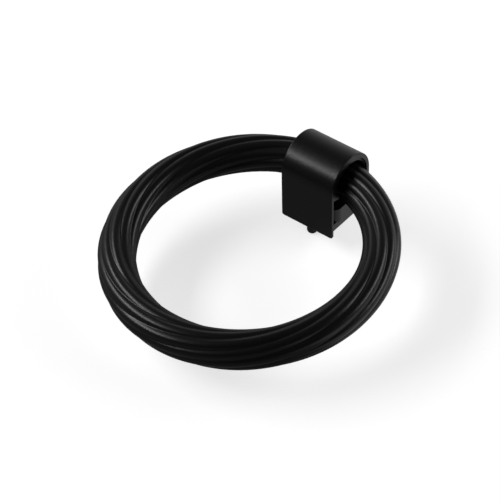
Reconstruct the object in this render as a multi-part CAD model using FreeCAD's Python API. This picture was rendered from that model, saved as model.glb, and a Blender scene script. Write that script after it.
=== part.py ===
import FreeCAD
import Part
import math
import os

# Ring pull handle: a closed cast ring with twisted ribs, hung in a D-shaped cast saddle.
# Millimetres. The mounting face is Z = 0 and +Z points away from the drawer front.
# X is the line the ring swings about, and the ring lies towards -Y.

# Ring
ring_outer_diameter = 70.0
ring_section_diameter = 9.1
rib_count = 10
rib_flank_angle = 56.0
rib_twist_turns = 1.0
station_count = 60
rest_tilt = 5.8

# Saddle
saddle_length = 14.95
saddle_depth = 14.7
saddle_height = 20.3
saddle_edge_radius = 0.3
foot_corner_radius = 0.65
skirt_thickness = 0.65
mouth_recess_depth = 0.7
mouth_rim_width = 1.10
shoulder_height = 10.9
shoulder_rise = 0.7
lug_top_height = 15.4
lug_face_height = 13.0

# Fit of the ring in the saddle
ring_clearance = 0.30
hinge_height = 12.36
back_wall = 1.15

# Base plug
plug_recess = 1.44
flange_height = 2.0
plug_height = 5.8
neck_half_width = 4.4
neck_corner_radius = 2.2
boss_step = 0.35
boss_side = 0.7
boss_foot = 1.6
boss_corner_radius = 1.4
boss_edge_radius = 0.2
screw_tap_radius = 1.65
screw_roof = 0.8
pin_radius = 1.3
pin_length = 3.1
pin_setback = 5.1
pin_tip_radius = 0.9

# Sizes that follow from the ones above
crest_radius = ring_section_diameter / 2.0
ring_radius = ring_outer_diameter / 2.0 - crest_radius
half_length = saddle_length / 2.0
half_depth = saddle_depth / 2.0
ring_offset = half_length ** 2 / (4.0 * ring_radius)
bore_radius = crest_radius + ring_offset + ring_clearance
hinge_y = half_depth - back_wall - bore_radius
arch_centre = saddle_height - half_depth
mouth_radius = half_depth - mouth_rim_width
pocket_half_width = half_depth - skirt_thickness
plug_half_length = half_length - plug_recess
X_AXIS = FreeCAD.Vector(1, 0, 0)
Z_AXIS = FreeCAD.Vector(0, 0, 1)


def point(x, y, z):
    return FreeCAD.Vector(x, y, z)


def line(a, b):
    return Part.makeLine(a, b)


def arc(a, middle, b):
    return Part.Arc(a, middle, b).toShape()


def solid_of(shape):
    """The single solid held by the result of a cut or a fuse."""
    solids = shape.Solids
    if len(solids) != 1:
        raise ValueError("expected one solid, found %d" % len(solids))
    return solids[0]


# Ring: round ribs on a round section, turned once round on the way along the ring

def rib_section(turn):
    """Ribs of the scalloped section: valley radius, start, crest radius, middle and end angle."""
    half_pitch = math.pi / rib_count
    flank = math.radians(rib_flank_angle)
    chord_ratio = math.sin(half_pitch)
    rib_ratio = chord_ratio / math.sin(flank)
    valley = crest_radius / (math.cos(half_pitch) + rib_ratio * (1.0 - math.cos(flank)))
    ribs = []
    for index in range(rib_count):
        start = turn + 2.0 * half_pitch * index
        ribs.append((valley, start, crest_radius, start + half_pitch, start + 2.0 * half_pitch))
    return ribs


def ring_point(radius, angle, position):
    """Point of the ring's skin: radius and angle in the section, position round the ring."""
    reach = ring_radius + radius * math.sin(angle)
    return point(reach * math.sin(position), reach * math.cos(position), radius * math.cos(angle))


def section_wire(position):
    edges = []
    for valley, start, crest, middle, end in rib_section(rib_twist_turns * position):
        first = ring_point(valley, start, position)
        top = ring_point(crest, middle, position)
        last = ring_point(valley, end, position)
        edges.append(arc(first, top, last))
    return Part.Wire(edges)


def make_ring():
    wires = []
    for index in range(station_count):
        wires.append(section_wire(2.0 * math.pi * index / station_count))
    ring = Part.makeLoft(wires, True, True, True)
    ring.translate(point(0, ring_offset - ring_radius, 0))
    ring.rotate(point(0, 0, 0), X_AXIS, rest_tilt)
    ring.translate(point(0, hinge_y, hinge_height))
    return ring


# Saddle: an arched block with a bore for the ring and a pocket open to the base

def arch_profile(x, half_width, centre_height, foot):
    """D-shaped outline: a half round on two straight legs."""
    left_foot = point(x, -half_width, foot)
    left_top = point(x, -half_width, centre_height)
    crown = point(x, 0, centre_height + half_width)
    right_top = point(x, half_width, centre_height)
    right_foot = point(x, half_width, foot)
    edges = [
        line(left_foot, left_top),
        arc(left_top, crown, right_top),
        line(right_top, right_foot),
        line(right_foot, left_foot),
    ]
    return Part.Wire(edges)


def extrude(wire, length):
    return Part.Face(wire).extrude(X_AXIS * length)


def pocket_block():
    """Room for the plug, with a ceiling that falls towards the bore."""
    edge_height = shoulder_height + shoulder_rise
    low = -saddle_edge_radius
    corners = [
        (-pocket_half_width, low),
        (-pocket_half_width, edge_height),
        (hinge_y - bore_radius, shoulder_height),
        (hinge_y + bore_radius, shoulder_height),
        (pocket_half_width, edge_height),
        (pocket_half_width, low),
        (-pocket_half_width, low),
    ]
    outline = [point(-half_length, y, z) for y, z in corners]
    return extrude(Part.makePolygon(outline), saddle_length)


def mouth_recess(x):
    """Shallow recess round the bore's mouth, left out where the near lug stands."""
    lug_drop = lug_top_height - arch_centre
    lug_y = -math.sqrt(mouth_radius ** 2 - lug_drop ** 2)
    bore_edge = hinge_y - bore_radius
    lug_start = point(x, lug_y, lug_top_height)
    crown = point(x, 0, arch_centre + mouth_radius)
    back_top = point(x, mouth_radius, arch_centre)
    back_foot = point(x, mouth_radius, shoulder_height)
    front_foot = point(x, bore_edge, shoulder_height)
    lug_face = point(x, bore_edge, lug_face_height)
    edges = [
        arc(lug_start, crown, back_top),
        line(back_top, back_foot),
        line(back_foot, front_foot),
        line(front_foot, lug_face),
        line(lug_face, lug_start),
    ]
    return extrude(Part.Wire(edges), mouth_recess_depth)


def outer_edges(body):
    """Edges of the block's two sides: the end outlines, the rounded feet and the base line."""
    chosen = []
    for edge in body.Edges:
        box = edge.BoundBox
        upright = box.XLength < 1e-6 and box.ZLength > 1e-6
        foot = box.YLength < 1e-6 and box.XLength > 1e-6 and box.ZMax < foot_corner_radius + 1e-6
        if upright or foot:
            chosen.append(edge)
    return chosen


def outer_block():
    """Arched block, with its four feet rounded as seen from the front."""
    block = extrude(arch_profile(-half_length, half_depth, arch_centre, 0.0), saddle_length)
    base_ends = []
    for edge in block.Edges:
        box = edge.BoundBox
        if box.XLength < 1e-6 and box.ZMax < 1e-6:
            base_ends.append(edge)
    block = block.makeFillet(foot_corner_radius, base_ends)
    return block.makeFillet(saddle_edge_radius, outer_edges(block))


def make_saddle():
    bore_start = point(-half_length - 1.0, hinge_y, hinge_height)
    bore = Part.makeCylinder(bore_radius, saddle_length + 2.0, bore_start, X_AXIS)
    tools = [bore, pocket_block(), mouth_recess(-half_length)]
    tools.append(mouth_recess(half_length - mouth_recess_depth))
    return solid_of(outer_block().cut(tools))


# Base plug: closes the pocket, takes the screw and carries the locating pin

def rounded_block(half_x, half_y, low, high, radius):
    block = Part.makeBox(2 * half_x, 2 * half_y, high - low, point(-half_x, -half_y, low))
    uprights = [edge for edge in block.Edges if edge.BoundBox.ZLength > high - low - 1e-6]
    return block.makeFillet(radius, uprights)


def make_boss():
    """Raised part of the neck's ends: round at the near side and at its lower far corner."""
    near = -neck_half_width
    turn = boss_side - boss_corner_radius * (1.0 - math.sqrt(0.5))
    turn_height = boss_foot + boss_corner_radius * (1.0 - math.sqrt(0.5))
    x = -plug_half_length - boss_step
    near_foot = point(x, near, boss_foot)
    turn_start = point(x, boss_side - boss_corner_radius, boss_foot)
    turn_middle = point(x, turn, turn_height)
    turn_end = point(x, boss_side, boss_foot + boss_corner_radius)
    far_top = point(x, boss_side, plug_height)
    near_top = point(x, near, plug_height)
    edges = [
        line(near_foot, turn_start),
        arc(turn_start, turn_middle, turn_end),
        line(turn_end, far_top),
        line(far_top, near_top),
        line(near_top, near_foot),
    ]
    boss = extrude(Part.Wire(edges), -2.0 * x)
    near_corners = []
    for edge in boss.Edges:
        box = edge.BoundBox
        if box.ZLength > plug_height - boss_foot - 1e-6 and box.YMax < near + 1e-6:
            near_corners.append(edge)
    boss = boss.makeFillet(neck_corner_radius, near_corners)
    rims = []
    for edge in boss.Edges:
        box = edge.BoundBox
        at_end = box.XLength < 1e-6 and abs(abs(box.XMin) - abs(x)) < 1e-6
        if at_end and box.YMax > boss_side - 1e-6 and box.ZLength > 1e-6:
            rims.append(edge)
    return boss.makeFillet(boss_edge_radius, rims)


def make_pin():
    foot = point(0, -pin_setback, -pin_length)
    pin = Part.makeCylinder(pin_radius, pin_length + flange_height / 2.0, foot, Z_AXIS)
    tip = [edge for edge in pin.Edges if edge.BoundBox.ZMax < -pin_length + 1e-6]
    return pin.makeFillet(pin_tip_radius, tip)


def make_plug():
    flange = rounded_block(plug_half_length, pocket_half_width, 0.0, flange_height, 0.3)
    neck = rounded_block(plug_half_length, neck_half_width, 0.0, plug_height, neck_corner_radius)
    plug = flange.fuse([neck, make_boss(), make_pin()])
    hole = Part.makeCylinder(screw_tap_radius, plug_height - screw_roof, point(0, 0, 0), Z_AXIS)
    return solid_of(plug.cut(hole).removeSplitter())


pieces = {
    "pull_ring": make_ring(),
    "saddle_body": make_saddle(),
    "base_plug": make_plug(),
}
os.makedirs("parts", exist_ok=True)
for name, shape in pieces.items():
    shape.exportStep("parts/" + name + ".step")
    box = shape.BoundBox
    print(name, shape.isValid(), round(shape.Volume, 2), len(shape.Faces), box)
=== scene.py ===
import math

import bpy
from mathutils import Matrix, Vector


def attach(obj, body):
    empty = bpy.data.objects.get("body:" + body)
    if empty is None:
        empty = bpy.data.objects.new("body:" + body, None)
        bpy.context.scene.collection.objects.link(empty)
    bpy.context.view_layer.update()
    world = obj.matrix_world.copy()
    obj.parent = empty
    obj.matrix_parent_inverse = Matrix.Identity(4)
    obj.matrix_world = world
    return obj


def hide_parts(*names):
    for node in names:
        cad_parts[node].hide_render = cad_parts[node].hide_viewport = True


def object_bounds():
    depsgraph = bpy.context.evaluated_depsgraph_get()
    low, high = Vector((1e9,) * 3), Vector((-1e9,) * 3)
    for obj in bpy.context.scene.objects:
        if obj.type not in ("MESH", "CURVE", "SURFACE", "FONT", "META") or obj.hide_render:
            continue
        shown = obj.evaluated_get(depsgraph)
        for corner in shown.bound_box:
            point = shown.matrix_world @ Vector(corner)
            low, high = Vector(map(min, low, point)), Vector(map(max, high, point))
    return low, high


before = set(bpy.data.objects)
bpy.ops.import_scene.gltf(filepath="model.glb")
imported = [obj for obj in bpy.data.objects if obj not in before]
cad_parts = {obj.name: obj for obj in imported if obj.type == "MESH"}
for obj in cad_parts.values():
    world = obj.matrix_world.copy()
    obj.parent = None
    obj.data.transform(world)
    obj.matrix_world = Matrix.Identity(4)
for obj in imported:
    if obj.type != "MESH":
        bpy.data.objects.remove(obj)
cad_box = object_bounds()

MM = 0.001

# Camera, set to the photograph's viewing angle
VIEW_AZIMUTH = 39.545
VIEW_ELEVATION = 43.102
VIEW_ROLL = -1.582
VIEW_DISTANCE = 0.58274
VIEW_LENS = 175.996
AIM_RIGHT = -0.017955
AIM_UP = -0.009486
SENSOR_WIDTH = 36.0
CLIP_START = 0.01
CLIP_END = 20.0

# Ring, as in the solid model, with crests 0.013 mm lower so that the mesh stays in its box
RING_RADIUS = 30.45 * MM
CREST_RADIUS = 4.537 * MM
RIB_COUNT = 10
RIB_FLANK = 56.0
TWIST_TURNS = 1.0
STEPS_ALONG = 640
STEPS_ACROSS = 144
SEAM_GAP = 0.005 * MM
REST_TILT = 5.8
SADDLE_HALF_LENGTH = 7.475 * MM
RING_OFFSET = SADDLE_HALF_LENGTH ** 2 / (4.0 * RING_RADIUS)
HINGE = Vector((0.0, 0.89125 * MM, 12.36 * MM))

# Powder coat
COAT_COLOR = (0.005, 0.005, 0.0052, 1.0)
COAT_IOR = 1.5
COAT_SMOOTHEST = 0.28
COAT_ROUGHEST = 0.36
GRAIN_SCALE = 2600.0
GRAIN_DETAIL = 3.0
GRAIN_LOW = 0.3
GRAIN_HIGH = 0.7
GRAIN_STRENGTH = 0.55
GRAIN_HEIGHT = 0.008 * MM
WAVE_SCALE = 420.0
WAVE_DETAIL = 2.0
WAVE_STRENGTH = 0.25
WAVE_HEIGHT = 0.06 * MM

# Floor: white to the camera, grey to the soft light that it throws back
WHITE = (1.0, 1.0, 1.0, 1.0)
FLOOR_SIZE = 3.0
FLOOR_GAP = 0.05 * MM
FLOOR_SEEN = (0.9, 0.9, 0.9, 1.0)
FLOOR_THROWN = (0.25, 0.25, 0.25, 1.0)
FLOOR_LIFT = 0.68

# Brightness of the room: dim on the camera's side, brighter beyond the object
ROOM_NEAR = 0.045
ROOM_FAR = 0.62
ROOM_NEAR_FROM = 0.30
ROOM_FAR_FROM = -1.00

# Floor as seen in reflections: a glow with a painted shadow of the saddle and ring, duller in front
# of the saddle, where the ring lies, than beyond it
MIRRORED_FLOOR_SHADED_GLOW = 0.12
MIRRORED_FLOOR_OPEN_GLOW = 0.50
PAINTED_SHADOW_INNER_REACH = -0.009
PAINTED_SHADOW_OUTER_REACH = 0.006
PAINTED_SHADOW_FADE_WAY = Vector((0.63, 0.77, 0.0))

# Lamps: name, azimuth from the -Y side, elevation, distance, width and height, power
LAMP_TARGET = Vector((0.0, -0.025, 0.01))
LAMPS = (
    ("left_softbox", -62.0, 38.0, 0.7, (0.66, 0.16), 2.1),
    ("right_softbox", 138.0, 25.0, 0.8, (0.66, 0.20), 1.5),
)


def pointing(azimuth, elevation):
    """Unit vector from the part towards an azimuth and an elevation; azimuth 0 is -Y."""
    return Vector((
        math.sin(azimuth) * math.cos(elevation),
        -math.cos(azimuth) * math.cos(elevation),
        math.sin(elevation),
    ))


def camera_axes():
    """Right, up and backward directions of the camera."""
    azimuth = math.radians(VIEW_AZIMUTH)
    roll = math.radians(VIEW_ROLL)
    back = pointing(azimuth, math.radians(VIEW_ELEVATION))
    right = Vector((math.cos(azimuth), math.sin(azimuth), 0.0))
    up = back.cross(right)
    turned_right = right * math.cos(roll) + up * math.sin(roll)
    turned_up = up * math.cos(roll) - right * math.sin(roll)
    return turned_right, turned_up, back


def add_camera():
    right, up, back = camera_axes()
    aim = right * AIM_RIGHT + up * AIM_UP
    eye = aim + back * VIEW_DISTANCE
    data = bpy.data.cameras.new("camera")
    data.sensor_width = SENSOR_WIDTH
    data.lens = VIEW_LENS
    data.clip_start = CLIP_START
    data.clip_end = CLIP_END
    camera = bpy.data.objects.new("camera", data)
    turn = Matrix((right, up, back)).transposed()
    camera.matrix_world = Matrix.Translation(eye) @ turn.to_4x4()
    bpy.context.scene.collection.objects.link(camera)
    bpy.context.scene.camera = camera


class NodeTree:
    """Short calls to build a node tree."""

    def __init__(self, tree):
        self.tree = tree

    def node(self, kind, values=(), **settings):
        """New node, with its settings and pairs of a socket's name or number and its value."""
        made = self.tree.nodes.new(kind)
        for key, value in settings.items():
            setattr(made, key, value)
        for socket, value in values:
            made.inputs[socket].default_value = value
        return made

    def link(self, source, target):
        self.tree.links.new(source, target)

    def math(self, operation, first, second=None):
        made = self.node("ShaderNodeMath", operation=operation)
        for index, value in enumerate((first, second)):
            if value is None:
                continue
            if isinstance(value, (int, float)):
                made.inputs[index].default_value = value
            else:
                self.link(value, made.inputs[index])
        return made.outputs[0]

    def reach(self, place, direction):
        """How far a place or direction lies along another direction."""
        made = self.node("ShaderNodeVectorMath", [(1, direction)], operation="DOT_PRODUCT")
        self.link(place, made.inputs[0])
        return made.outputs["Value"]

    def mapped(self, value, start, end, **settings):
        """Value carried over from one range (start) to another (end)."""
        names = ("From Min", "From Max", "To Min", "To Max")
        made = self.node("ShaderNodeMapRange", zip(names, start + end), **settings)
        self.link(value, made.inputs["Value"])
        return made.outputs[0]

    def mix(self, share, first, second):
        made = self.node("ShaderNodeMixShader")
        for index, source in enumerate((share, first, second)):
            self.link(source, made.inputs[index])
        return made.outputs[0]


def ring_group():
    """Node group that bends a grid into a ring whose section carries twisted round ribs."""
    group = bpy.data.node_groups.new("twisted_ring", "GeometryNodeTree")
    build = NodeTree(group)
    inputs = (
        ("Ring Radius", "NodeSocketFloat", RING_RADIUS),
        ("Crest Radius", "NodeSocketFloat", CREST_RADIUS),
        ("Ribs", "NodeSocketInt", RIB_COUNT),
        ("Flank Angle", "NodeSocketFloat", math.radians(RIB_FLANK)),
        ("Twist Turns", "NodeSocketFloat", TWIST_TURNS),
        ("Steps Along", "NodeSocketInt", STEPS_ALONG),
        ("Steps Across", "NodeSocketInt", STEPS_ACROSS),
    )
    sockets = group.interface
    for name, kind, value in inputs:
        sockets.new_socket(name, in_out="INPUT", socket_type=kind).default_value = value
    sockets.new_socket("Material", in_out="INPUT", socket_type="NodeSocketMaterial")
    sockets.new_socket("Geometry", in_out="OUTPUT", socket_type="NodeSocketGeometry")
    source = build.node("NodeGroupInput").outputs
    full_turn = 2.0 * math.pi

    sides = [("Size X", full_turn), ("Size Y", full_turn)]
    grid = build.node("GeometryNodeMeshGrid", sides)
    build.link(build.math("ADD", source["Steps Along"], 1), grid.inputs["Vertices X"])
    build.link(build.math("ADD", source["Steps Across"], 1), grid.inputs["Vertices Y"])
    flat = build.node("ShaderNodeSeparateXYZ")
    build.link(build.node("GeometryNodeInputPosition").outputs[0], flat.inputs[0])
    along = build.math("ADD", flat.outputs[0], math.pi)
    around = build.math("ADD", flat.outputs[1], math.pi)
    angle = build.math("ADD", around, build.math("MULTIPLY", along, source["Twist Turns"]))

    pitch = build.math("DIVIDE", full_turn, source["Ribs"])
    half_pitch = build.math("MULTIPLY", pitch, 0.5)
    local = build.math("SUBTRACT", build.math("FLOORED_MODULO", around, pitch), half_pitch)
    flank = source["Flank Angle"]
    rib_ratio = build.math("DIVIDE", build.math("SINE", half_pitch), build.math("SINE", flank))
    drop = build.math("SUBTRACT", 1.0, build.math("COSINE", flank))
    stand = build.math("MULTIPLY", rib_ratio, drop)
    valley = build.math(
        "DIVIDE", source["Crest Radius"], build.math("ADD", build.math("COSINE", half_pitch), stand)
    )
    rib = build.math("MULTIPLY", valley, rib_ratio)
    centre = build.math("SUBTRACT", source["Crest Radius"], rib)
    side = build.math("MULTIPLY", centre, build.math("SINE", local))
    rib_squared = build.math("POWER", rib, 2.0)
    inner = build.math("SUBTRACT", rib_squared, build.math("POWER", side, 2.0))
    radius = build.math(
        "ADD",
        build.math("MULTIPLY", centre, build.math("COSINE", local)),
        build.math("SQRT", inner),
    )

    out_from_axis = build.math("MULTIPLY", radius, build.math("SINE", angle))
    reach = build.math("ADD", source["Ring Radius"], out_from_axis)
    place = build.node("ShaderNodeCombineXYZ")
    build.link(build.math("MULTIPLY", reach, build.math("SINE", along)), place.inputs[0])
    build.link(build.math("MULTIPLY", reach, build.math("COSINE", along)), place.inputs[1])
    build.link(build.math("MULTIPLY", radius, build.math("COSINE", angle)), place.inputs[2])
    bent = build.node("GeometryNodeSetPosition")
    build.link(grid.outputs["Mesh"], bent.inputs["Geometry"])
    build.link(place.outputs[0], bent.inputs["Position"])
    closed = build.node("GeometryNodeMergeByDistance", [("Distance", SEAM_GAP)])
    build.link(bent.outputs[0], closed.inputs["Geometry"])
    realize = build.node("GeometryNodeRealizeInstances")
    build.link(closed.outputs[0], realize.inputs[0])
    paint = build.node("GeometryNodeSetMaterial")
    build.link(realize.outputs[0], paint.inputs["Geometry"])
    build.link(source["Material"], paint.inputs["Material"])
    build.link(paint.outputs[0], build.node("NodeGroupOutput").inputs[0])
    return group


def baked(name, group, values):
    """Plain mesh object made by running a node group once."""
    holder = bpy.data.objects.new(name + "_source", bpy.data.meshes.new(name + "_source"))
    bpy.context.scene.collection.objects.link(holder)
    modifier = holder.modifiers.new("build", "NODES")
    modifier.node_group = group
    for item in group.interface.items_tree:
        if item.in_out == "INPUT" and item.name in values:
            modifier[item.identifier] = values[item.name]
    graph = bpy.context.evaluated_depsgraph_get()
    mesh = bpy.data.meshes.new_from_object(holder.evaluated_get(graph))
    bpy.data.objects.remove(holder)
    made = bpy.data.objects.new(name, mesh)
    bpy.context.scene.collection.objects.link(made)
    return made


def new_material(name):
    """Empty material and the builder of its node tree."""
    material = bpy.data.materials.new(name)
    material.use_nodes = True
    material.node_tree.nodes.clear()
    return material, NodeTree(material.node_tree)


def black_coat():
    """Black powder coat: satin, with a very fine grain and a faint larger unevenness."""
    material, build = new_material("black_coat")
    where = build.node("ShaderNodeTexCoord").outputs["Object"]

    def noise(scale, detail):
        made = build.node("ShaderNodeTexNoise", [("Scale", scale), ("Detail", detail)])
        build.link(where, made.inputs["Vector"])
        return made.outputs[0]

    def bump(height, strength, distance):
        made = build.node("ShaderNodeBump", [("Strength", strength), ("Distance", distance)])
        build.link(height, made.inputs["Height"])
        return made

    grain = noise(GRAIN_SCALE, GRAIN_DETAIL)
    fine = bump(grain, GRAIN_STRENGTH, GRAIN_HEIGHT)
    broad = bump(noise(WAVE_SCALE, WAVE_DETAIL), WAVE_STRENGTH, WAVE_HEIGHT)
    build.link(fine.outputs[0], broad.inputs["Normal"])
    satin = build.mapped(grain, (GRAIN_LOW, GRAIN_HIGH), (COAT_SMOOTHEST, COAT_ROUGHEST))
    values = [("Base Color", COAT_COLOR), ("IOR", COAT_IOR)]
    surface = build.node("ShaderNodeBsdfPrincipled", values)
    build.link(satin, surface.inputs["Roughness"])
    build.link(broad.outputs[0], surface.inputs["Normal"])
    out = build.node("ShaderNodeOutputMaterial")
    build.link(surface.outputs[0], out.inputs["Surface"])
    return material


def floor_material():
    """Pale matt floor: white with the shadow to the camera; in reflections, part of the room that
    glows, with a painted shadow of the saddle and ring.
    """
    material, build = new_material("floor")
    lit = build.node("ShaderNodeBsdfDiffuse", [("Color", FLOOR_SEEN)])
    lift = build.node("ShaderNodeEmission", [("Color", WHITE), ("Strength", FLOOR_LIFT)])
    seen = build.node("ShaderNodeAddShader")
    build.link(lit.outputs[0], seen.inputs[0])
    build.link(lift.outputs[0], seen.inputs[1])
    thrown = build.node("ShaderNodeBsdfDiffuse", [("Color", FLOOR_THROWN)])
    # Glow seen only in reflections, with a painted shadow: dim in front of the saddle and ring,
    # bright beyond them
    painted_floor_reflection = build.node("ShaderNodeEmission")
    place = build.node("ShaderNodeNewGeometry").outputs["Position"]
    painted_shadow_glow = build.mapped(
        build.reach(place, PAINTED_SHADOW_FADE_WAY),
        (PAINTED_SHADOW_INNER_REACH, PAINTED_SHADOW_OUTER_REACH),
        (MIRRORED_FLOOR_SHADED_GLOW, MIRRORED_FLOOR_OPEN_GLOW),
        interpolation_type="SMOOTHSTEP",
    )
    build.link(painted_shadow_glow, painted_floor_reflection.inputs["Strength"])
    rays = build.node("ShaderNodeLightPath").outputs
    unseen = build.mix(rays["Is Glossy Ray"], thrown.outputs[0], painted_floor_reflection.outputs[0])
    mixed = build.mix(rays["Is Camera Ray"], unseen, seen.outputs[0])
    out = build.node("ShaderNodeOutputMaterial")
    build.link(mixed, out.inputs["Surface"])
    return material


def add_floor(height):
    far = FLOOR_SIZE
    corners = [(-far, -far, height), (far, -far, height), (far, far, height), (-far, far, height)]
    mesh = bpy.data.meshes.new("floor")
    mesh.from_pydata(corners, [], [(0, 1, 2, 3)])
    mesh.materials.append(floor_material())
    floor = bpy.data.objects.new("floor", mesh)
    bpy.context.scene.collection.objects.link(floor)


def area_light(name, azimuth, elevation, distance, size, power):
    """Soft lamp that looks at the part from an azimuth and an elevation in degrees."""
    direction = pointing(math.radians(azimuth), math.radians(elevation))
    data = bpy.data.lights.new(name, "AREA")
    data.shape = "RECTANGLE"
    data.size, data.size_y = size
    data.energy = power
    lamp = bpy.data.objects.new(name, data)
    turn = direction.to_track_quat("Z", "Y").to_matrix().to_4x4()
    lamp.matrix_world = Matrix.Translation(LAMP_TARGET + direction * distance) @ turn
    bpy.context.scene.collection.objects.link(lamp)


def add_world():
    """Room round the part, dim on the camera's side; plain white where the camera sees it."""
    world = bpy.data.worlds.new("world")
    bpy.context.scene.world = world
    world.use_nodes = True
    world.node_tree.nodes.clear()
    build = NodeTree(world.node_tree)
    direction = build.node("ShaderNodeTexCoord").outputs["Generated"]
    strength = build.mapped(
        build.reach(direction, camera_axes()[2]),
        (ROOM_FAR_FROM, ROOM_NEAR_FROM),
        (ROOM_FAR, ROOM_NEAR),
        interpolation_type="SMOOTHSTEP",
    )
    lit = build.node("ShaderNodeBackground", [("Color", WHITE)])
    build.link(strength, lit.inputs["Strength"])
    seen = build.node("ShaderNodeBackground", [("Color", WHITE), ("Strength", 1.0)])
    rays = build.node("ShaderNodeLightPath").outputs
    mixed = build.mix(rays["Is Camera Ray"], lit.outputs[0], seen.outputs[0])
    out = build.node("ShaderNodeOutputWorld")
    build.link(mixed, out.inputs["Surface"])


coat = black_coat()
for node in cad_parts.values():
    for place in node.material_slots:
        place.material = coat

ring = baked("fluted_ring", ring_group(), {"Material": coat})
tilt = Matrix.Rotation(math.radians(REST_TILT), 4, "X")
shift = Matrix.Translation(Vector((0.0, RING_OFFSET - RING_RADIUS, 0.0)))
ring.data.transform(Matrix.Translation(HINGE) @ tilt @ shift)
for face in ring.data.polygons:
    face.use_smooth = True
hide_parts("pull_ring")
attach(ring, "ring")

add_camera()
add_floor(cad_box[0][2] - FLOOR_GAP)
for lamp_row in LAMPS:
    area_light(*lamp_row)
add_world()
bpy.context.scene.view_settings.view_transform = "Standard"
